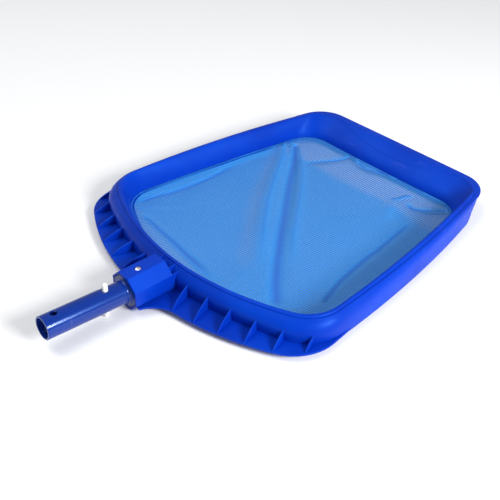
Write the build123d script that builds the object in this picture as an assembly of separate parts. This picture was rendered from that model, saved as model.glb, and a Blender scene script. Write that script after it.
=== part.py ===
from build123d import *
import math
import os

# Leaf skimmer head for a swimming pool. Millimetres, +Z up.
# The handle lies along X: the pole goes on at -X and the scooping lip is at +X.
# The origin is on the mid plane, at the middle of the whole length, on the lowest face.

# ---- pole tube and its socket ----
TUBE_OD = 28.5
TUBE_WALL = 2.0
TUBE_RISE = 3.4              # degrees that the tube climbs towards its open end
TUBE_LENGTH = 105.5          # from the socket mouth to the open end
TUBE_BEARING = 74.0          # from the open end, the stretch that bears in the pole
TUBE_RELIEF = 0.25           # how much thinner the rest of the tube is, on the radius
TUBE_CHAMFER = 0.5
ROOT_FILLET = 3.5
MOUTH_X = -193.0
SOCKET_LENGTH = 52.0
SOCKET_FLATS = 46.0          # across the flats of the octagon
SOCKET_WALL = 2.8
SOCKET_BACK_WALL = 3.0
SOCKET_EDGE_RADIUS = 0.8
SOCKET_MOUTH_CHAMFER = 0.4
PLUG_GAP = 0.8
PLUG_WALL = 3.6
PLUG_LENGTH = 43.0
AXIS_Z = SOCKET_FLATS / 2

# ---- lock buttons and their spring clip ----
HOLE_DIAMETER = 8.5
END_HOLE_FROM_TIP = 15.0
LOCK_HOLE_FROM_TIP = 80.0
BUTTON_DIAMETER = 6.5
BUTTON_PROUD = 9.0
PAD_LENGTH = 10.0
PAD_WIDTH = 8.0
PAD_THICKNESS = 1.8
PAD_TO_BORE = 0.5
CLIP_THICKNESS = 1.4
CLIP_WIDTH = 7.0
CLIP_LENGTH = 38.0
CLIP_BEND_RADIUS = 3.0
CLIP_TO_PAD = 0.4

# ---- blind rivets through the socket and the plug ----
RIVET_X = MOUTH_X + 21.0
RIVET_HEAD_DIAMETER = 7.6
RIVET_HEAD_HEIGHT = 1.3
RIVET_SHANK_DIAMETER = 4.6
RIVET_HOLE_DIAMETER = 4.7
RIVET_RECESS_DIAMETER = 9.0
RIVET_RECESS_DEPTH = 1.4
RIVET_BLIND_DIAMETER = 6.4
RIVET_BLIND_HEIGHT = 2.4
MANDREL_DIAMETER = 2.4
MANDREL_SUNK = 0.5

# ---- heights of the rim ----
FLANGE_TOP_Z = 9.6
FLANGE_THICKNESS = 2.4
FLANGE_EDGE_RADIUS = 0.7
LEDGE_BOTTOM_Z = 5.0
LEDGE_TOP_Z = 7.0
SEAM_Z = 34.6                # top edge of the frame, where the bezel meets it
CREST_Z = 36.6               # highest line of the bezel
LIP_THICKNESS = 3.0
LIP_LOWER_RADIUS = 1.2
LIP_UPPER_RADIUS = 0.8
FOOT_RADIUS = 1.6
FRAME_WALL = 2.6
BEZEL_GAP = 0.3
BEZEL_BOTTOM_Z = 8.0
BEZEL_SKIN_Z = 33.8           # where the thin skin of the bezel runs into its thick top edge
BEZEL_WALL = 2.6
BEAD_Z = 29.4
BEAD_HEIGHT = 2.0
BEAD_END_X = 200.0           # the snap bead runs round the rear and sides up to here
NET_THICKNESS = 0.7
NET_LOW_Z = 0.8
NET_CLAMPED = 6.0            # how far the net's flat edge runs out under the bezel
NET_SLOPE = 16.0             # how far in from the bezel the net reaches its lowest level
LEDGE_REACH = 3.0            # how far the ledge shows inside the bezel
MIDDLE_Z = 16.0
VOID_SHOULDER_Z = 26.0
SHOULDER_Z = 31.6
CREST_ROUND_Z = 0.4
BEAD_PROUD = 0.7

# ---- plan shapes ----
LIP_X = 297.0
RIB_ANGLE = 17.0             # degrees between a gusset rib and the handle axis
RIB_THICKNESS = 2.0
RIB_EDGE_RADIUS = 0.6
RIB_TOP_Z = 26.6
FLANGE_APEX_X = -168.5
FLANGE_RADIUS = 364.0
FLANGE_CORNER = (-99.7, 213.0)
FLANGE_CORNER_RADIUS = 60.0
FLANGE_END = (6.0, 200.0)
RIB_Y = [50.5, 82.0, 113.5, 144.5, 174.5]
LAST_RIB = (-98.5, 199.0)

# ---- braces behind the socket: distance from the mid plane and top height ----
BRACES = [(20.5, 31.5), (11.5, 35.5)]
BRACE_LENGTH = 22.0
BRACE_THICKNESS = 1.8
BRACE_BITE = 6.0             # how far a brace runs into the socket

# Every rim outline has the same eight edges: a bowed rear, two long gently curved sides,
# a front edge, and four corner arcs. "corner" is where the edges would meet unrounded.
KEYS = ["rear_x", "rear_corner_x", "rear_corner_y", "front_x", "front_corner_x",
        "front_corner_y", "side_bulge", "rear_radius", "front_radius"]


def shape(*values):
    """One rim outline as named values."""
    return dict(zip(KEYS, values))


SEAM = shape(-127.5, -74.0, 195.0, 268.4, 300.7, 146.2, 10.3, 51.0, 46.0)
TRAY_TOP = shape(-124.1, -70.6, 191.6, 298.0, 298.5, 142.8, 10.3, 47.6, 40.0)
VOID_TOP = shape(-127.5, -74.0, 195.0, 250.0, 290.0, 145.0, 11.0, 51.0, 44.0)
NET_EDGE = shape(-113.5, -62.0, 182.0, 252.5, 254.5, 142.0, 4.0, 45.0, 38.0)
LIP = shape(-128.5, -74.8, 196.0, LIP_X, LIP_X - 0.5, 152.5, 11.0, 52.0, 44.0)
WALL_TOP = shape(-128.5, -74.8, 196.0, 289.5, 289.0, 152.5, 11.0, 52.0, 44.0)
WALL_SHOULDER = shape(-131.8, -78.5, 199.5, 286.5, 286.0, 155.0, 11.0, 55.0, 44.0)
WALL_BULGE = shape(-135.7, -82.5, 203.2, 281.0, 280.5, 157.0, 10.5, 58.0, 45.0)
WALL_MIDDLE = shape(-137.0, -84.5, 205.8, 273.5, 273.0, 158.8, 10.0, 58.0, 46.0)
WALL_FOOT = shape(-137.0, -84.5, 206.6, 267.0, 266.5, 159.5, 10.0, 58.0, 47.0)


def grown(s, g):
    """The outline s moved outwards by g all round."""
    r = dict(s)
    r["rear_x"] -= g
    r["rear_corner_x"] -= g
    r["rear_corner_y"] += g
    r["front_x"] += g
    r["front_corner_x"] += g
    r["front_corner_y"] += g
    r["rear_radius"] += g
    r["front_radius"] += g
    return r


def mixed(a, b, t):
    """The outline a share t of the way from a to b."""
    return {k: a[k] + (b[k] - a[k]) * t for k in KEYS}


def outline(s, z):
    """The outline s as a flat face at height z."""
    rear = (s["rear_corner_x"], s["rear_corner_y"])
    front = (s["front_corner_x"], s["front_corner_y"])
    rear_low, front_low = (rear[0], -rear[1]), (front[0], -front[1])
    length = math.dist(rear, front)
    slope = ((front[0] - rear[0]) / length, (front[1] - rear[1]) / length)
    middle = ((rear[0] + front[0]) / 2 - slope[1] * s["side_bulge"],
              (rear[1] + front[1]) / 2 + slope[0] * s["side_bulge"])
    edges = [
        ThreePointArc(rear_low, (s["rear_x"], 0), rear),
        ThreePointArc(rear, middle, front),
        ThreePointArc(front, (s["front_x"], 0), front_low),
        ThreePointArc(front_low, (middle[0], -middle[1]), rear_low),
    ]
    face = make_face(edges)
    corners = face.vertices().sort_by(Axis.X)
    face = fillet(corners[:2], s["rear_radius"])
    corners = [v for v in face.vertices() if abs(v.X - front[0]) < 0.01 and abs(abs(v.Y) - front[1]) < 0.01]
    return Pos(0, 0, z) * fillet(corners, s["front_radius"])


def stacked(sections):
    """A solid through outlines, given as (height, outline) from the bottom up."""
    return loft([outline(s, z).face() for z, s in sections])


def octagon(flats, length, x):
    """An octagonal bar along X, resting on a flat, starting at x and centred on the axis."""
    corner_radius = flats / 2 / math.cos(math.pi / 8)
    face = Plane.YZ * RegularPolygon(corner_radius, 8, rotation=22.5)
    return Pos(x, 0, AXIS_Z) * extrude(face, length)


def round_bar(diameter, x0, x1):
    """A round bar along X about the origin."""
    return Pos(x0, 0, 0) * extrude(Plane.YZ * Circle(diameter / 2), x1 - x0)


def in_tube(item):
    """Place something drawn about the X axis, open end at -TUBE_LENGTH, on the sloping tube."""
    return Pos(MOUTH_X, 0, AXIS_Z) * Rot(0, TUBE_RISE, 0) * item


def both_sides(item):
    """The item and its mirror image across the mid plane."""
    return item + mirror(item, Plane.XZ)


# ---------------------------------------------------------------- outer frame
def flange_face():
    """Half of the rear flange, from the socket round the corner to the side wall."""
    socket_side = (MOUTH_X + 3.0, SOCKET_FLATS / 2 + 0.3)
    blend_end = (flange_edge_x(50.0), 50.0)
    blend = ThreePointArc(socket_side, (-174.6, 32.3), blend_end)
    rear = ThreePointArc(blend_end, (flange_edge_x(130.0), 130.0), FLANGE_CORNER)
    inner = [Line(FLANGE_CORNER, FLANGE_END), Line(FLANGE_END, (FLANGE_END[0], 0)),
             Line((FLANGE_END[0], 0), (socket_side[0], 0)), Line((socket_side[0], 0), socket_side)]
    face = make_face([blend, rear] + inner)
    corner = [v for v in face.vertices() if math.dist((v.X, v.Y), FLANGE_CORNER) < 0.01]
    return fillet(corner, FLANGE_CORNER_RADIUS)


def flange_edge_x(y):
    """Where the outer edge of the rear flange is at a distance y from the mid plane."""
    return FLANGE_APEX_X + FLANGE_RADIUS - math.sqrt(FLANGE_RADIUS ** 2 - y ** 2)


def gusset(x, y):
    """One curved rib from the flange edge up to the bulge of the wall."""
    reach = 40.0
    drop = 1.0
    start = 0.6
    rise = RIB_TOP_Z - FLANGE_TOP_Z
    profile = make_face([
        Line((0, -drop), (0, start)),
        ThreePointArc((0, start), (reach * 0.42, rise * 0.62), (reach, rise)),
        Line((reach, rise), (reach, -drop)),
        Line((reach, -drop), (0, -drop)),
    ])
    plate = extrude(Plane.XZ * profile, RIB_THICKNESS / 2, both=True)
    plate = fillet(plate.edges().filter_by(GeomType.CIRCLE), RIB_EDGE_RADIUS)
    return Pos(x, y, FLANGE_TOP_Z) * Rot(0, 0, -RIB_ANGLE) * plate


def socket_brace(y, top_z):
    """A small plate that ties the back of the socket to the wall."""
    x0 = MOUTH_X + SOCKET_LENGTH - BRACE_BITE
    height = top_z - FLANGE_TOP_Z + 1.0
    plate = Box(BRACE_LENGTH, BRACE_THICKNESS, height, align=(Align.MIN, Align.CENTER, Align.MIN))
    return Pos(x0, y, FLANGE_TOP_Z - 1.0) * plate


def rim_void():
    """The hollow inside the wall, above the ledge, narrowing to the seam at the top."""
    inner_foot = grown(WALL_FOOT, -FRAME_WALL)
    inner_middle = grown(WALL_MIDDLE, -FRAME_WALL)
    return stacked([(LEDGE_TOP_Z, inner_foot), (MIDDLE_Z, inner_middle),
                    (VOID_SHOULDER_Z, mixed(inner_middle, VOID_TOP, 0.35)),
                    (SEAM_Z - LIP_THICKNESS, VOID_TOP)])


def make_outer_frame():
    """Wall, ledge, rear flange with gussets, handle socket and front lip in one moulding."""
    wall = stacked([(LEDGE_BOTTOM_Z, WALL_FOOT), (MIDDLE_Z, WALL_MIDDLE), (RIB_TOP_Z, WALL_BULGE),
                    (SHOULDER_Z, WALL_SHOULDER), (SEAM_Z, WALL_TOP)])
    wall = fillet(wall.edges().group_by(Axis.Z)[0], FOOT_RADIUS)
    lip = extrude(outline(LIP, SEAM_Z - LIP_THICKNESS), LIP_THICKNESS)
    lip = fillet(lip.edges().group_by(Axis.Z)[0], LIP_LOWER_RADIUS)
    lip = fillet(lip.edges().group_by(Axis.Z)[-1], LIP_UPPER_RADIUS)
    lip &= Pos(LIP_X, 0, SEAM_Z) * Box(110, 400, 20)
    half = flange_face()
    flange = Pos(0, 0, FLANGE_TOP_Z - FLANGE_THICKNESS) * extrude(half, FLANGE_THICKNESS)
    rim = [e for e in flange.edges().group_by(Axis.Z)[-1] if e.geom_type == GeomType.CIRCLE]
    flange = both_sides(fillet(rim, FLANGE_EDGE_RADIUS))
    above_flange = Pos(0, 0, FLANGE_TOP_Z - FLANGE_THICKNESS) * extrude(half, 40.0)
    ribs = Part() + [gusset(flange_edge_x(y) + 0.5, y) for y in RIB_Y] + gusset(*LAST_RIB)
    ribs = both_sides(ribs & above_flange)
    braces = both_sides(Part() + [socket_brace(*brace) for brace in BRACES])
    socket = octagon(SOCKET_FLATS, SOCKET_LENGTH, MOUTH_X)
    socket = fillet(socket.edges().filter_by(Axis.X), SOCKET_EDGE_RADIUS)
    socket = chamfer(socket.edges().group_by(Axis.X)[0], SOCKET_MOUTH_CHAMFER)
    bore = octagon(SOCKET_FLATS - 2 * SOCKET_WALL, SOCKET_LENGTH - SOCKET_BACK_WALL, MOUTH_X)
    ledge_hole = extrude(outline(grown(NET_EDGE, -LEDGE_REACH), LEDGE_BOTTOM_Z - 1), 5.0)
    frame = wall + lip + flange + ribs + braces + socket
    for space in [rim_void(), bore, ledge_hole, stacked(tray_sections())] + bezel_blocks(0):
        frame -= space
    for sign in (1, -1):
        frame -= rivet_cut(sign)
    return frame


# ---------------------------------------------------------------- bezel and net
def tray_sections():
    """The surface of the bezel that faces the net, as (height, outline) from the net up."""
    shares = [(BEZEL_BOTTOM_Z, 0.0), (20.0, 0.2), (29.0, 0.5), (BEZEL_SKIN_Z, 0.72), (CREST_Z + 1.0, 1.1)]
    return [(z, mixed(NET_EDGE, TRAY_TOP, share)) for z, share in shares]


def bezel_blocks(gap):
    """The bezel's top edge, skin and snap bead, filled in and moved outwards by gap."""
    seam = grown(SEAM, gap)
    edge_low_z = SEAM_Z - 1.8 - gap
    edge = stacked([(edge_low_z, seam), (SEAM_Z + CREST_ROUND_Z, seam),
                    (CREST_Z - CREST_ROUND_Z, grown(seam, -0.8)), (CREST_Z, grown(seam, -2.1))])
    skin = stacked([(z, grown(s, BEZEL_WALL + gap)) for z, s in tray_sections()[:-1]])
    skin &= extrude(outline(seam, 0), CREST_Z)
    bead = extrude(outline(grown(seam, BEAD_PROUD), BEAD_Z - gap), BEAD_HEIGHT + 2 * gap)
    behind = Box(500, 500, 50, align=(Align.MAX, Align.CENTER, Align.CENTER))
    return [edge, skin, bead & Pos(BEAD_END_X + gap, 0, SEAM_Z) * behind]


def make_inner_ring():
    """The bezel that snaps in under the seam and clamps the edge of the net."""
    edge, skin, bead = bezel_blocks(-BEZEL_GAP)
    return edge + skin + bead - stacked(tray_sections())


def make_net():
    """The net as a thin shallow pan; its flat edge is clamped under the bezel."""
    top_z = LEDGE_TOP_Z + NET_THICKNESS
    clamped = grown(NET_EDGE, NET_CLAMPED)
    bottom = grown(NET_EDGE, -NET_SLOPE)
    rim = extrude(outline(clamped, LEDGE_TOP_Z), NET_THICKNESS)
    inside = grown(NET_EDGE, -LEDGE_REACH - 0.6)
    pan = stacked([(NET_LOW_Z, bottom), (LEDGE_TOP_Z + 0.1, inside)])
    hollow = stacked([(NET_LOW_Z + NET_THICKNESS, grown(bottom, -0.6)), (top_z, grown(inside, -0.6))])
    return rim + pan - hollow


# ---------------------------------------------------------------- pole adapter
def make_pole_adapter():
    """The pole tube, moulded in one with the octagonal plug that fills the socket."""
    plug_flats = SOCKET_FLATS - 2 * SOCKET_WALL - 2 * PLUG_GAP
    plug = octagon(plug_flats, PLUG_LENGTH, MOUTH_X)
    plug_hollow = octagon(plug_flats - 2 * PLUG_WALL, PLUG_LENGTH, MOUTH_X + 4.0)
    bearing_end = TUBE_BEARING - TUBE_LENGTH
    bearing = round_bar(TUBE_OD, -TUBE_LENGTH, bearing_end)
    bearing = chamfer(bearing.edges().sort_by(Axis.X)[0], TUBE_CHAMFER)
    tube = bearing + round_bar(TUBE_OD - 2 * TUBE_RELIEF, bearing_end, 2.0)
    radius = TUBE_OD / 2 - TUBE_RELIEF
    rim = radius + ROOT_FILLET
    hollow = ROOT_FILLET * (1 - math.sqrt(0.5))
    root = Plane.XZ * make_face([
        Line((0.8, 0), (0.8, rim)),
        Line((0.8, rim), (0, rim)),
        ThreePointArc((0, rim), (-hollow, radius + hollow), (-ROOT_FILLET, radius)),
        Line((-ROOT_FILLET, radius), (-ROOT_FILLET, 0)),
        Line((-ROOT_FILLET, 0), (0.8, 0)),
    ])
    root = revolve(root, Axis.X)
    bore = round_bar(TUBE_OD - 2 * TUBE_WALL, -TUBE_LENGTH - 1, 6.0)
    body = plug - plug_hollow + in_tube(tube) + in_tube(root) - in_tube(bore)
    for from_tip in (END_HOLE_FROM_TIP, LOCK_HOLE_FROM_TIP):
        hole = Pos(from_tip - TUBE_LENGTH, 0, 0) * Cylinder(HOLE_DIAMETER / 2, TUBE_OD + 4)
        body -= in_tube(hole)
    for sign in (1, -1):
        body -= rivet_cut(sign)
    return body


# ---------------------------------------------------------------- lock buttons
def make_button(sign):
    """A domed lock button on its pad, pressed radially into the tube; sign picks the side."""
    bore_radius = TUBE_OD / 2 - TUBE_WALL
    pad_top = bore_radius - PAD_TO_BORE
    apex = TUBE_OD / 2 + BUTTON_PROUD
    radius = BUTTON_DIAMETER / 2
    pad = Pos(0, 0, pad_top - PAD_THICKNESS) * extrude(RectangleRounded(PAD_LENGTH, PAD_WIDTH, 2.0),
                                                      PAD_THICKNESS)
    pad &= round_bar(2 * pad_top, -PAD_LENGTH, PAD_LENGTH)
    shaft_low = pad_top - PAD_THICKNESS / 2
    shaft = Pos(0, 0, shaft_low) * extrude(Circle(radius), apex - radius - shaft_low)
    dome = Pos(0, 0, apex - radius) * Sphere(radius)
    button = pad + shaft + dome
    if sign < 0:
        button = mirror(button, Plane.XY)
    return in_tube(Pos(LOCK_HOLE_FROM_TIP - TUBE_LENGTH, 0, 0) * button)


def make_spring_clip():
    """The springy V that pushes both buttons out; its bend points at the plug."""
    pad_middle = TUBE_OD / 2 - TUBE_WALL - PAD_TO_BORE - PAD_THICKNESS / 2
    x0 = LOCK_HOLE_FROM_TIP - TUBE_LENGTH + PAD_LENGTH / 2 + CLIP_TO_PAD
    half = CLIP_THICKNESS / 2
    splay = math.atan2(pad_middle - CLIP_BEND_RADIUS, CLIP_LENGTH)
    arm_length = math.hypot(pad_middle - CLIP_BEND_RADIUS, CLIP_LENGTH)
    arm = Rectangle(arm_length + 0.2, CLIP_THICKNESS, align=(Align.MAX, Align.CENTER))
    arm = Pos(x0 + CLIP_LENGTH, CLIP_BEND_RADIUS) * Rot(0, 0, -math.degrees(splay)) * arm
    bend = Circle(CLIP_BEND_RADIUS + half) - Circle(CLIP_BEND_RADIUS - half)
    bend &= Rectangle(20, 20, align=(Align.MIN, Align.CENTER))
    strip = arm + mirror(arm, Plane.XZ) + Pos(x0 + CLIP_LENGTH - 0.3, 0) * bend
    return in_tube(extrude(Plane.XZ * strip, CLIP_WIDTH / 2, both=True))


# ---------------------------------------------------------------- rivets
def on_flat(item, sign):
    """Place something drawn on Z = 0 on the top (+1) or bottom (-1) flat of the socket."""
    if sign < 0:
        item = mirror(item, Plane.XY)
    return Pos(RIVET_X, 0, AXIS_Z + sign * SOCKET_FLATS / 2) * item


def rivet_cut(sign):
    """The recess for the rivet head and the hole through both walls."""
    recess = Cylinder(RIVET_RECESS_DIAMETER / 2, 2 * RIVET_RECESS_DEPTH)
    hole = Cylinder(RIVET_HOLE_DIAMETER / 2, 30, align=(Align.CENTER, Align.CENTER, Align.MAX))
    return on_flat(recess + hole, sign)


def rivet_depth():
    """How far below the socket flat the inner face of the plug wall is."""
    return SOCKET_WALL + PLUG_GAP + PLUG_WALL


def make_rivet_body(sign):
    """A blind rivet: low domed head, shank, and the bulb that grips inside the plug."""
    seat = -RIVET_RECESS_DEPTH
    radius = RIVET_HEAD_DIAMETER / 2
    head = make_face([
        Line((0, seat), (radius, seat)),
        Line((radius, seat), (radius, seat + 0.4)),
        ThreePointArc((radius, seat + 0.4), (radius * 0.6, seat + RIVET_HEAD_HEIGHT * 0.86),
                      (0, seat + RIVET_HEAD_HEIGHT)),
        Line((0, seat + RIVET_HEAD_HEIGHT), (0, seat)),
    ])
    head = revolve(Plane.XZ * head, Axis.Z)
    inner = -rivet_depth()
    shank = Pos(0, 0, inner - 0.5) * extrude(Circle(RIVET_SHANK_DIAMETER / 2), seat - inner + 1.0)
    bulb = Pos(0, 0, inner - RIVET_BLIND_HEIGHT) * extrude(Circle(RIVET_BLIND_DIAMETER / 2),
                                                          RIVET_BLIND_HEIGHT)
    bulb = fillet(bulb.edges().filter_by(GeomType.CIRCLE), 0.8)
    bore = Pos(0, 0, -20) * extrude(Circle(MANDREL_DIAMETER / 2 + 0.05), 30)
    return on_flat(head + shank + bulb - bore, sign)


def make_rivet_mandrel(sign):
    """The steel pin left in the rivet, broken off just below the head."""
    top = -RIVET_RECESS_DEPTH + RIVET_HEAD_HEIGHT - MANDREL_SUNK
    low = -rivet_depth() - RIVET_BLIND_HEIGHT - 0.1
    pin = Pos(0, 0, low) * extrude(Circle(MANDREL_DIAMETER / 2), top - low)
    knob = Pos(0, 0, low) * Sphere(2.1)
    knob &= Pos(0, 0, low) * Box(6, 6, 6, align=(Align.CENTER, Align.CENTER, Align.MAX))
    return on_flat(pin + knob, sign)


def main():
    """Build every node and write it as a STEP file named after it."""
    nodes = {
        "outer_frame": make_outer_frame(),
        "inner_ring": make_inner_ring(),
        "net": make_net(),
        "pole_adapter": make_pole_adapter(),
        "spring_clip": make_spring_clip(),
        "lock_button_top": make_button(1),
        "lock_button_bottom": make_button(-1),
    }
    for place, sign in (("top", 1), ("bottom", -1)):
        nodes["rivet_body_" + place] = make_rivet_body(sign)
        nodes["rivet_mandrel_" + place] = make_rivet_mandrel(sign)
    os.makedirs("parts", exist_ok=True)
    for name, item in nodes.items():
        export_step(item, os.path.join("parts", name + ".step"))


main()
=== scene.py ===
import math
import bpy
import numpy as np
from mathutils import Matrix, Vector


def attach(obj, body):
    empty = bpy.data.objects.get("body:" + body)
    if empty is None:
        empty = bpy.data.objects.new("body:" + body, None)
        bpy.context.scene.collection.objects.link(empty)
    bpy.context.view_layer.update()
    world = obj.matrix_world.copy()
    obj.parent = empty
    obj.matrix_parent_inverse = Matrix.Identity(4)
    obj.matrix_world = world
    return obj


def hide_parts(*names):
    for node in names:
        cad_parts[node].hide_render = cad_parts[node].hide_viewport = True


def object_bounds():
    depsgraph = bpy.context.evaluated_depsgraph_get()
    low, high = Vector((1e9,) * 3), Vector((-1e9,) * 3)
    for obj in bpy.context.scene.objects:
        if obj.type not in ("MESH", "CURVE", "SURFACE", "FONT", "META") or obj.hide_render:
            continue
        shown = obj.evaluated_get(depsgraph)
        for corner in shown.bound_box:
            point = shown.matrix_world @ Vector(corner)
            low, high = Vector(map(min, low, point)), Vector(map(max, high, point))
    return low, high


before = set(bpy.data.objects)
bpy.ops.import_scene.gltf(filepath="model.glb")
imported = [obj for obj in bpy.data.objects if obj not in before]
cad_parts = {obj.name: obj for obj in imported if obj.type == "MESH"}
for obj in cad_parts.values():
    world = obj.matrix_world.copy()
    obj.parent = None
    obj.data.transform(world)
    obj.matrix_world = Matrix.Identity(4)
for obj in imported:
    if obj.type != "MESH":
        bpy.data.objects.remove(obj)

CAD_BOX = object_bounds()
MM = 0.001


# ---------------------------------------------------------------- camera and studio
def make_camera():
    """A long lens looking down on the head from behind, on the pole side."""
    azimuth = math.radians(-41.85)
    elevation = math.radians(36.99)
    roll = math.radians(-0.29)
    distance = 0.9825
    target = Vector((-0.0210, -0.0233, 0.0096))
    back = Vector((math.sin(azimuth) * math.cos(elevation),
                   -math.cos(azimuth) * math.cos(elevation), math.sin(elevation)))
    right = Vector((math.cos(azimuth), math.sin(azimuth), 0))
    up = back.cross(right)
    turned_right = right * math.cos(roll) - up * math.sin(roll)
    turned_up = right * math.sin(roll) + up * math.cos(roll)
    data = bpy.data.cameras.new("camera")
    data.sensor_width = 36.0
    data.lens = 56.3
    data.clip_start = 0.05
    data.clip_end = 20
    camera = bpy.data.objects.new("camera", data)
    axes = Matrix((turned_right, turned_up, back)).transposed()
    camera.matrix_world = Matrix.Translation(target + back * distance) @ axes.to_4x4()
    bpy.context.collection.objects.link(camera)
    bpy.context.scene.camera = camera


def make_softbox(name, place, aim, size, power):
    """A square area light at place, facing aim."""
    data = bpy.data.lights.new(name, "AREA")
    data.shape = "SQUARE"
    data.size = size
    data.energy = power
    light = bpy.data.objects.new(name, data)
    light.location = place
    light.rotation_euler = (Vector(aim) - Vector(place)).to_track_quat("-Z", "Y").to_euler()
    bpy.context.collection.objects.link(light)


def make_lights():
    """A key on the near side, a bigger weak light over the far end, and a pale world."""
    world = bpy.data.worlds.new("world")
    bpy.context.scene.world = world
    world.use_nodes = True
    background = world.node_tree.nodes["Background"]
    background.inputs["Color"].default_value = (0.93, 0.96, 1.0, 1)
    background.inputs["Strength"].default_value = 0.40
    middle = (0.05, 0.0, 0.02)
    make_softbox("key", (0.15, -1.6, 0.90), middle, size=0.55, power=41.0)
    make_softbox("top", (-0.5, 0.8, 1.9), (-0.15, 0.3, 0.0), size=1.5, power=21.0)
    bpy.context.scene.view_settings.view_transform = "Standard"


def make_floor():
    """A plain pale floor under the head."""
    size = 4.0
    mesh = bpy.data.meshes.new("floor")
    corners = [(-size, -size, 0), (size, -size, 0), (size, size, 0), (-size, size, 0)]
    mesh.from_pydata(corners, [], [(0, 1, 2, 3)])
    floor = bpy.data.objects.new("floor", mesh)
    bpy.context.collection.objects.link(floor)
    floor.location.z = CAD_BOX[0].z - 0.2 * MM
    mesh.materials.append(plain_material("floor", (0.93, 0.93, 0.93), 0.6))


# ---------------------------------------------------------------- materials
class Nodes:
    """A small helper that adds and links shader nodes of one material."""

    def __init__(self, name):
        self.material = bpy.data.materials.new(name)
        self.material.use_nodes = True
        self.tree = self.material.node_tree
        self.shader = self.tree.nodes["Principled BSDF"]

    def add(self, kind, **settings):
        node = self.tree.nodes.new("ShaderNode" + kind)
        for key, value in settings.items():
            setattr(node, key, value)
        return node

    def link(self, out, into):
        self.tree.links.new(out, into)

    def put(self, socket, value):
        """Set an input to a number or colour, or link it to another node's output."""
        if isinstance(value, bpy.types.NodeSocket):
            self.link(value, socket)
        else:
            socket.default_value = value

    def math(self, operation, a, b=0.0, clamp=False):
        node = self.add("Math", operation=operation, use_clamp=clamp)
        self.put(node.inputs[0], a)
        self.put(node.inputs[1], b)
        return node.outputs[0]

    def noise(self, coordinate, scale, detail=2.0, stretch=None):
        """Noise at scale features per metre, from 0 to 1."""
        if stretch:
            mapping = self.add("Mapping")
            self.link(coordinate, mapping.inputs["Vector"])
            mapping.inputs["Scale"].default_value = stretch
            coordinate = mapping.outputs[0]
        node = self.add("TexNoise")
        self.link(coordinate, node.inputs["Vector"])
        node.inputs["Scale"].default_value = scale
        node.inputs["Detail"].default_value = detail
        return node.outputs["Fac"]

    def spread(self, value, low, high, from_low=0.0, from_high=1.0):
        """Map a value from one range to another, held at the ends."""
        node = self.add("MapRange")
        self.link(value, node.inputs["Value"])
        names = ("From Min", "From Max", "To Min", "To Max")
        for key, number in zip(names, (from_low, from_high, low, high)):
            self.put(node.inputs[key], number)
        return node.outputs[0]

    def mix(self, share, a, b):
        node = self.add("Mix", data_type="RGBA")
        self.put(node.inputs["Factor"], share)
        self.put(node.inputs[6], a)
        self.put(node.inputs[7], b)
        return node.outputs[2]

    def bump(self, height, strength, distance):
        node = self.add("Bump")
        self.link(height, node.inputs["Height"])
        node.inputs["Strength"].default_value = strength
        node.inputs["Distance"].default_value = distance
        self.link(node.outputs[0], self.shader.inputs["Normal"])

    def place(self):
        return self.add("TexCoord").outputs["Object"]


def plain_material(name, color, roughness):
    """A single-colour material for the stage."""
    nodes = Nodes(name)
    nodes.shader.inputs["Base Color"].default_value = (*color, 1)
    nodes.shader.inputs["Roughness"].default_value = roughness
    return nodes.material


def moulded_plastic(name, color, light_color, roughness, grain, coat=0.0):
    """Injection-moulded plastic: slight flow tint, uneven gloss, fine grain and handling scuffs."""
    nodes = Nodes(name)
    place = nodes.place()
    flow = nodes.noise(place, 9.0, 3.0, (1.0, 1.0, 2.5))
    tint = nodes.mix(nodes.spread(flow, 0.0, 1.0, 0.35, 0.7), (*color, 1), (*light_color, 1))
    scuffs = nodes.noise(place, 160.0, 5.0, (1.0, 0.16, 0.5))
    scuffs = nodes.spread(scuffs, 0.0, 1.0, 0.66, 0.8)
    pale = tuple(c + 0.06 * (0.8 - c) for c in light_color)
    scuffed = nodes.mix(nodes.math("MULTIPLY", scuffs, 0.35), tint, (*pale, 1))
    nodes.link(scuffed, nodes.shader.inputs["Base Color"])
    gloss = nodes.spread(nodes.noise(place, 38.0, 4.0), roughness - 0.05, roughness + 0.07, 0.3, 0.7)
    dulled = nodes.math("ADD", gloss, nodes.math("MULTIPLY", scuffs, 0.12))
    nodes.link(dulled, nodes.shader.inputs["Roughness"])
    fine = nodes.noise(place, 1400.0, 2.0)
    wavy = nodes.noise(place, 60.0, 2.0)
    height = nodes.math("ADD", nodes.math("MULTIPLY", fine, grain), nodes.math("MULTIPLY", wavy, 0.6))
    nodes.bump(height, 0.25, 0.12 * MM)
    nodes.shader.inputs["Specular IOR Level"].default_value = 0.35
    nodes.shader.inputs["Specular Tint"].default_value = (0.12, 0.38, 1.0, 1)
    nodes.shader.inputs["Coat Weight"].default_value = coat
    nodes.shader.inputs["Coat Roughness"].default_value = 0.12
    return nodes.material


def nylon(name):
    """White nylon: slightly waxy, with a faint warm tint where it is thick."""
    nodes = Nodes(name)
    place = nodes.place()
    cloud = nodes.noise(place, 140.0, 3.0)
    waxy = nodes.mix(cloud, (0.80, 0.80, 0.77, 1), (0.88, 0.88, 0.87, 1))
    nodes.link(waxy, nodes.shader.inputs["Base Color"])
    nodes.link(nodes.spread(cloud, 0.32, 0.45), nodes.shader.inputs["Roughness"])
    nodes.shader.inputs["Subsurface Weight"].default_value = 0.15
    nodes.shader.inputs["Subsurface Radius"].default_value = (0.002, 0.002, 0.002)
    nodes.bump(nodes.noise(place, 900.0), 0.15, 0.1 * MM)
    return nodes.material


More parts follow.
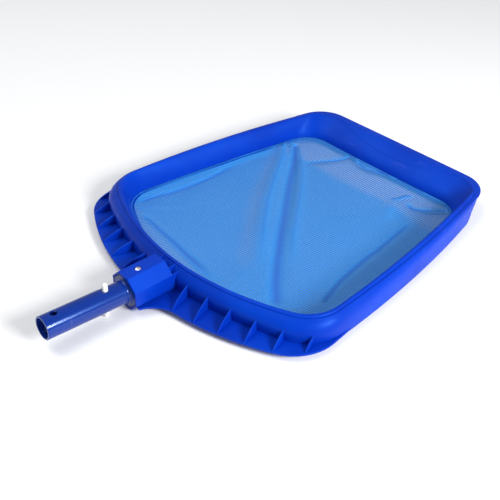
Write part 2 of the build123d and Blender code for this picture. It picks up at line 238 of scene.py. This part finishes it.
def metal(name, color, dark_color, roughness):
    """Drawn rivet metal: rings from forming and a darker film in the low spots."""
    nodes = Nodes(name)
    place = nodes.place()
    film = nodes.noise(place, 700.0, 4.0)
    nodes.link(nodes.mix(nodes.spread(film, 0.0, 0.8, 0.45, 0.75), (*color, 1), (*dark_color, 1)),
               nodes.shader.inputs["Base Color"])
    nodes.shader.inputs["Metallic"].default_value = 1.0
    nodes.link(nodes.spread(film, roughness, roughness + 0.2), nodes.shader.inputs["Roughness"])
    nodes.bump(film, 0.2, 0.05 * MM)
    return nodes.material


def woven_net(name):
    """Fine net: round threads over and under, real holes between them, closer along the creases, with a
    painted highlight on the thread crowns and painted shade in the creases.
    """
    row_pitch = 3.5
    cross_pitch = 1.6
    nodes = Nodes(name)
    flat = nodes.add("Attribute", attribute_name="weave")
    cover = nodes.add("Attribute", attribute_name="cover").outputs["Fac"]
    split = nodes.add("SeparateXYZ")
    nodes.link(flat.outputs["Vector"], split.inputs[0])
    threads = []
    for axis, other, pitch, crossing, share in ((0, 1, cross_pitch, row_pitch, 0.40),
                                                (1, 0, row_pitch, cross_pitch, 0.62)):
        across = nodes.math("MULTIPLY", split.outputs[axis], 1 / pitch)
        along = nodes.math("MULTIPLY", split.outputs[other], math.pi / crossing)
        phase = nodes.math("FRACT", across)
        off_centre = nodes.math("ABSOLUTE", nodes.math("SUBTRACT", phase, 0.5))
        half_width = nodes.math("MULTIPLY", cover, share)
        inside = nodes.math("SUBTRACT", half_width, off_centre)
        solid = nodes.spread(inside, 0.0, 1.0, -0.05, 0.05)
        round_height = nodes.spread(inside, 0.0, 1.0, 0.0, 0.25)
        wave = nodes.math("MULTIPLY", nodes.math("SINE", along), 0.35)
        parity = nodes.math("SINE", nodes.math("MULTIPLY", across, math.pi))
        crimp = nodes.math("MULTIPLY", wave, nodes.math("SIGN", parity))
        threads.append((solid, nodes.math("ADD", round_height, crimp)))
    solid = nodes.math("MAXIMUM", threads[0][0], threads[1][0])
    height = nodes.math("MAXIMUM", threads[0][1], threads[1][1])
    place = nodes.place()
    cloud = nodes.noise(place, 14.0, 3.0)
    thread_color = nodes.mix(cloud, (0.001, 0.115, 0.48, 1), (0.004, 0.160, 0.56, 1))
    # painted highlight: the thread colour is mixed towards a lighter blue on the crowns of the weave
    painted_crown_highlight = nodes.spread(height, 0.0, 0.75, 0.35, 1.1)
    thread_with_painted_highlight = nodes.mix(painted_crown_highlight, thread_color, (0.03, 0.34, 0.78, 1))
    # painted shade: where the threads close up along the creases, their colour is mixed towards a darker
    # blue
    painted_crease_shade = nodes.spread(cover, 0.0, 0.85, 0.64, 0.95)
    nodes.link(nodes.mix(painted_crease_shade, thread_with_painted_highlight, (0.0005, 0.085, 0.44, 1)), nodes.shader.inputs["Base Color"])
    nodes.link(solid, nodes.shader.inputs["Alpha"])
    nodes.shader.inputs["Roughness"].default_value = 0.5
    nodes.shader.inputs["Sheen Weight"].default_value = 0.1
    nodes.bump(height, 0.5, 0.25 * MM)
    return nodes.material


def finish_cad_nodes():
    """Give every visible CAD node its own procedural finish."""
    frame_blue = moulded_plastic("frame_plastic", (0.0003, 0.026, 0.37), (0.0006, 0.043, 0.48), 0.46, 0.5)
    tube_blue = moulded_plastic("adapter_plastic", (0.001, 0.018, 0.18), (0.003, 0.027, 0.24),
                                0.24, 0.15, 0.5)
    finishes = {
        "outer_frame": frame_blue,
        "inner_ring": frame_blue,
        "pole_adapter": tube_blue,
        "spring_clip": nylon("white_nylon"),
        "rivet_body_top": metal("rivet_aluminium", (0.86, 0.86, 0.87), (0.55, 0.54, 0.52), 0.28),
        "rivet_mandrel_top": metal("mandrel_steel", (0.42, 0.34, 0.24), (0.22, 0.17, 0.12), 0.4),
    }
    finishes["lock_button_top"] = finishes["lock_button_bottom"] = finishes["spring_clip"]
    finishes["rivet_body_bottom"] = finishes["rivet_body_top"]
    finishes["rivet_mandrel_bottom"] = finishes["rivet_mandrel_top"]
    for node, material in finishes.items():
        piece = bpy.data.objects[node]
        for slot in piece.material_slots:
            slot.material = material


# ---------------------------------------------------------------- the net
# Places on the net are in millimetres from the frame's origin. The net hangs in the frame as a shallow
# tray: its sides slope from the bezel's foot to the lines where it lies almost flat.
NET_RIM_Z = 7.45
NET_FLOOR_Z = 3.0
NET_TUCK = 4.0               # how far the net runs out under the bezel's foot
WEAVE_ANGLE = 0.1            # how far the threads are turned from the handle axis, in radians
WEAVE_TURN = np.array([(math.cos(WEAVE_ANGLE), math.sin(WEAVE_ANGLE), 0),
                       (-math.sin(WEAVE_ANGLE), math.cos(WEAVE_ANGLE), 0), (0, 0, 0)])
BASE_COVER = 0.60            # thread width as a share of the weave, before folds close it up
# how much thinner the threads are drawn on the front slope: painted light for a slope that faces the lamp
FRONT_PAINTED_LIGHT = 0.17
REAR_OPENING = 0.10
FAR_CLOSING = 0.04
COVER_RANGE = (0.25, 0.97)
SLOPE_CURVE = 1.15
FOLD_GAIN = 1.9              # scales the heights given in FOLDS
LOWEST = 0.9                 # the net is held this far above the floor
GRID = (176, 168)            # quads along and across
# FLOOR_EDGE and the lines in FOLDS are measured places, not worked out from the frame.
FLOOR_EDGE = [(-66, 150), (-67, 121), (-69, 96), (-71, 66), (-75, 34), (-80, 0), (-86, -30), (-90, -62),
              (-78, -112), (-48, -138), (-20, -147), (25, -135), (83, -125), (140, -119), (190, -110),
              (200, -75), (194, -20), (190, 40), (192, 96), (184, 128), (150, 146), (94, 153), (67, 151),
              (30, 151), (-3, 155), (-31, 163), (-54, 166)]


class Fold:
    """A crease or soft ridge along a line. Widths and height change evenly from its start to its end."""

    def __init__(self, line, height, left, right, dense, dense_width, fade=(0.12, 0.12)):
        self.line = [np.array(p, dtype=float) for p in line]
        self.height = height
        self.left = left
        self.right = right
        self.dense = dense
        self.dense_width = dense_width
        self.fade = fade


FOLDS = [
    # the long pleat across the net: a ridge, then the valley beside it, then a low second ridge
    Fold([(206, 149), (172, 121), (127, 89), (80, 53), (35, 12), (-2, -24), (-36, -60)],
         (2.6, 1.6), (5, 9), (11, 22), 0.50, (2.0, 5.0), (0.02, 0.3)),
    Fold([(219, 141), (180, 103), (140, 70), (90, 27), (37, -19), (-6, -58), (-38, -89), (-66, -121)],
         (-2.2, -1.3), (7, 13), (6, 12), 0.85, (4.2, 8.0), (0.02, 0.04)),
    Fold([(219, 134), (187, 96), (153, 59), (103, 16), (57, -22), (16, -58), (-14, -85)],
         (1.7, 1.0), (5, 9), (12, 20), 0.45, (1.8, 3.6), (0.05, 0.3)),
    # feet of the sloping sides
    Fold([(-72, 141), (-71, 121), (-74, 96), (-76, 66), (-80, 34), (-83, 0), (-88, -30), (-90, -52)],
         (-1.1, -0.9), (6, 14), (5, 12), 0.92, (2.2, 6.5), (0.08, 0.35)),
    Fold([(190, -112), (170, -115), (140, -119), (112, -123), (83, -125), (52, -130), (25, -135),
          (-20, -149)],
         (-1.0, -1.2), (7, 7), (4, 4), 0.92, (2.4, 3.2), (0.12, 0.03)),
    Fold([(-56, 168), (-31, 164), (-3, 156), (30, 152), (67, 152), (94, 154), (118, 157)],
         (-1.2, -0.8), (3, 3), (5, 5), 0.9, (2.2, 2.2), (0.05, 0.2)),
    # tucks along the front edge
    Fold([(186, 93), (197, 86), (220, 68), (238, 57), (251, 55)],
         (-1.0, -1.4), (4, 4), (4, 4), 0.95, (2.4, 2.4), (0.25, 0.02)),
    Fold([(249, 40), (242, 18), (247, 0), (252, -16), (254, -36)],
         (-1.3, -1.0), (3, 3), (4, 4), 0.97, (2.6, 2.2), (0.12, 0.1)),
    Fold([(251, 45), (251, 20), (252, 0), (253, -20)],
         (-0.8, -0.8), (3, 3), (3, 3), 0.85, (1.8, 1.4), (0.15, 0.2)),
    Fold([(207, -58), (216, -66), (228, -70), (234, -79)],
         (0.9, 0.9), (3, 3), (5, 5), 0.92, (2.4, 2.4), (0.2, 0.2)),
    Fold([(219, -80), (214, -93), (221, -107), (232, -120), (246, -133)],
         (-1.6, -1.2), (4, 4), (5, 5), 0.97, (3.0, 2.2), (0.15, 0.02)),
    Fold([(206, -62), (196, -70), (180, -78), (150, -90)],
         (0.8, 0.5), (6, 8), (8, 10), 0.10, (4.0, 4.0), (0.2, 0.5)),
    Fold([(253, -78), (252, -94), (253, -112), (251, -124)],
         (-0.6, -0.6), (2, 2), (3, 3), 0.8, (1.5, 1.5), (0.2, 0.2)),
    # faint tension lines
    Fold([(-66, 160), (-20, 120), (40, 104), (100, 96)],
         (0.35, 0.2), (5, 12), (5, 12), 0.0, (1, 1), (0.1, 0.5)),
    Fold([(244, -130), (180, -60), (120, -30), (60, -20)],
         (0.5, 0.2), (6, 14), (6, 14), 0.0, (1, 1), (0.1, 0.6)),
    Fold([(-100, -60), (-40, -40), (20, -20)], (0.4, 0.2), (6, 12), (6, 12), 0.0, (1, 1), (0.2, 0.6)),
]


def bezel_foot():
    """The inner edge of the bezel's flat foot, as a closed loop of points in order."""
    mesh = bpy.data.objects["inner_ring"].data
    low = min(v.co.z for v in mesh.vertices) + 0.001 * MM
    place = {v.index: (round(v.co.x / MM, 3), round(v.co.y / MM, 3))
             for v in mesh.vertices if v.co.z < low}
    uses = {}
    for face in mesh.polygons:
        if all(i in place for i in face.vertices):
            for a, b in face.edge_keys:
                edge = tuple(sorted((place[a], place[b])))
                uses[edge] = uses.get(edge, 0) + 1
    beside = {}
    for a, b in [edge for edge, count in uses.items() if count == 1]:
        beside.setdefault(a, []).append(b)
        beside.setdefault(b, []).append(a)
    loops = []
    while beside:
        loop = [next(iter(beside))]
        while True:
            ways = [p for p in beside.pop(loop[-1]) if p in beside]
            if not ways:
                break
            loop.append(ways[0])
        loops.append(np.array(loop))
    return min(loops, key=lambda loop: np.ptp(loop[:, 0]))


def resampled(points, count):
    """count + 1 points spaced evenly along an open line."""
    steps = np.linalg.norm(np.diff(points, axis=0), axis=1)
    reach = np.concatenate([[0], np.cumsum(steps)])
    wanted = np.linspace(0, reach[-1], count + 1)
    return np.stack([np.interp(wanted, reach, points[:, k]) for k in (0, 1)], axis=1)


def four_sides(loop):
    """The rear, front, near and far sides of the loop, cut at the middles of its corner arcs."""
    corners = [int(np.argmax(loop @ np.array(way))) for way in ((-1, -1), (1, -1), (1, 1), (-1, 1))]

    def between(a, b):
        ahead = (b - a) % len(loop)
        behind = (a - b) % len(loop)
        step = 1 if ahead < behind else -1
        return loop[[(a + step * k) % len(loop) for k in range(min(ahead, behind) + 1)]]

    rear_near, front_near, front_far, rear_far = corners
    return (resampled(between(rear_near, rear_far), GRID[1]),
            resampled(between(front_near, front_far), GRID[1]),
            resampled(between(rear_near, front_near), GRID[0]),
            resampled(between(rear_far, front_far), GRID[0]))


def patch(rear, front, near, far):
    """Grid points inside the four sides, blended evenly from them."""
    s = np.linspace(0, 1, GRID[0] + 1)[:, None, None]
    t = np.linspace(0, 1, GRID[1] + 1)[None, :, None]
    sides = (1 - t) * near[:, None] + t * far[:, None] + (1 - s) * rear[None] + s * front[None]
    corners = ((1 - s) * (1 - t) * near[0] + s * (1 - t) * near[-1] + (1 - s) * t * far[0] + s * t * far[-1])
    return sides - corners


def to_line(places, line):
    """Distance to a line (positive on its left), and how far along it, from 0 to 1."""
    best = np.full(len(places), np.inf)
    side = np.zeros(len(places))
    share = np.zeros(len(places))
    lengths = [np.linalg.norm(b - a) for a, b in zip(line, line[1:])]
    passed = 0.0
    for a, b, length in zip(line, line[1:], lengths):
        way = (b - a) / length
        offset = places - a
        forward = np.clip(offset @ way, 0, length)
        apart = np.linalg.norm(offset - forward[:, None] * way, axis=1)
        nearer = apart < best
        best = np.where(nearer, apart, best)
        side = np.where(nearer, np.sign(way[0] * offset[:, 1] - way[1] * offset[:, 0]), side)
        share = np.where(nearer, (passed + forward) / sum(lengths), share)
        passed += length
    return best * side, share


def smooth_step(value, low, high):
    """0 below low, 1 above high, and a smooth rise between."""
    t = np.clip((value - low) / max(high - low, 1e-6), 0, 1)
    return t * t * (3 - 2 * t)


def inside_outline(places, outline):
    """True for the places inside a closed outline."""
    inside = np.zeros(len(places), dtype=bool)
    for (x1, y1), (x2, y2) in zip(outline, outline[1:] + outline[:1]):
        crosses = (y1 > places[:, 1]) != (y2 > places[:, 1])
        x_there = x1 + (places[:, 1] - y1) * (x2 - x1) / (y2 - y1 if y2 != y1 else 1e-9)
        inside ^= crosses & (places[:, 0] < x_there)
    return inside


def net_height(places, rim):
    """Height of the net over each place, and how wide its threads look there."""
    closed_rim = [np.array(p) for p in rim] + [np.array(rim[0])]
    to_rim = np.abs(to_line(places, closed_rim)[0])
    foot = [np.array(p, dtype=float) for p in FLOOR_EDGE]
    to_foot = np.abs(to_line(places, foot + foot[:1])[0])
    outside = ~inside_outline(places, FLOOR_EDGE)
    band = smooth_step(np.where(outside, to_foot, -to_foot), -5, 6)
    slope = np.where(outside, to_foot / (to_foot + to_rim + 1e-6), 0.0)
    x, y = places[:, 0], places[:, 1]
    slack = 0.35 * np.sin(x / 31 + 0.6) * np.sin(y / 37 + 0.4) + 0.22 * np.sin(x / 17 - y / 23)
    slack *= smooth_step(to_rim, 4, 40)
    height = NET_FLOOR_Z + slack + (NET_RIM_Z - NET_FLOOR_Z) * slope ** SLOPE_CURVE
    cover = np.full(len(places), BASE_COVER)
    # painted light: the front slope, which catches the light, gets thinner threads so more pale floor shows
    # through
    front_band = band * smooth_step(x, 176, 205)
    cover -= FRONT_PAINTED_LIGHT * front_band
    rear_band = band * smooth_step(-x, 40, 70)
    cover -= REAR_OPENING * rear_band
    far_band = band * smooth_step(y, 140, 152) * (1 - front_band)
    cover += FAR_CLOSING * far_band
    # the folds close the threads up; where they close far enough, the net material also paints the threads
    # darker: painted shade in the creases
    dense = np.zeros(len(places))
    for fold in FOLDS:
        distance, share = to_line(places, fold.line)
        fade = smooth_step(share, 0, fold.fade[0]) * (1 - smooth_step(share, 1 - fold.fade[1], 1))

        def at(pair):
            return pair[0] + (pair[1] - pair[0]) * share

        width = np.where(distance > 0, at(fold.left), at(fold.right))
        rise = FOLD_GAIN * at(fold.height) * np.exp(-(distance / width) ** 2)
        height += rise * fade * smooth_step(to_rim, 0, 9)
        dense = np.maximum(dense, fold.dense * fade * np.exp(-(distance / at(fold.dense_width)) ** 2))
    # the slope between the long pleat's ridge and valley faces the light; its threads are drawn thinner so
    # more pale floor shows through, painted light on that slope
    distance, share = to_line(places, FOLDS[0].line)
    painted_light_band = np.exp(-((distance + 12 + 8 * share) / (7 + 5 * share)) ** 2) * smooth_step(share, 0.0, 0.15)
    cover -= 0.08 * painted_light_band * (1 - smooth_step(share, 0.9, 1.0))
    return np.maximum(height, LOWEST), np.clip(cover + dense * (1 - cover), *COVER_RANGE)


def make_net():
    """The net as one sheet of cloth, tucked under the bezel's foot all round."""
    rear, front, near, far = four_sides(bezel_foot())
    grid = patch(rear, front, near, far)
    rim = np.concatenate([near[:-1], front[:-1], far[::-1][:-1], rear[::-1][:-1]])
    places = grid.reshape(-1, 2)
    height, cover = net_height(places, rim)
    across = GRID[1] + 1
    index = np.arange(len(places)).reshape(GRID[0] + 1, across)
    faces = [(index[i, j], index[i + 1, j], index[i + 1, j + 1], index[i, j + 1])
             for i in range(GRID[0]) for j in range(GRID[1])]
    edge = np.concatenate([index[:-1, 0], index[-1, :-1], index[::-1, -1][:-1], index[0, ::-1][:-1]])
    ahead, behind = np.roll(rim, -1, axis=0), np.roll(rim, 1, axis=0)
    way = ahead - behind
    outward = np.stack([way[:, 1], -way[:, 0]], axis=1) / np.linalg.norm(way, axis=1)[:, None]
    points = [np.column_stack([places, height])]
    covers = [cover]
    previous, count = edge, len(places)
    for step in (NET_TUCK / 2, NET_TUCK):
        points.append(np.column_stack([rim + outward * step, np.full(len(rim), NET_RIM_Z)]))
        covers.append(np.full(len(rim), 0.5))
        ring = np.arange(count, count + len(rim))
        faces += list(zip(previous, ring, np.roll(ring, -1), np.roll(previous, -1)))
        previous, count = ring, count + len(rim)
    points = np.concatenate(points)
    mesh = bpy.data.meshes.new("net_cloth")
    mesh.from_pydata([tuple(p) for p in points * MM], [], [tuple(int(i) for i in f) for f in faces])
    weave = mesh.attributes.new("weave", "FLOAT_VECTOR", "POINT")
    weave.data.foreach_set("vector", (points @ WEAVE_TURN).ravel())
    thread_width = mesh.attributes.new("cover", "FLOAT", "POINT")
    thread_width.data.foreach_set("value", np.concatenate(covers))
    mesh.polygons.foreach_set("use_smooth", [True] * len(mesh.polygons))
    mesh.materials.append(woven_net("net_mesh"))
    net = bpy.data.objects.new("net_cloth", mesh)
    bpy.context.collection.objects.link(net)
    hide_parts("net")
    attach(net, "head")


make_camera()
make_lights()
make_floor()
finish_cad_nodes()
make_net()
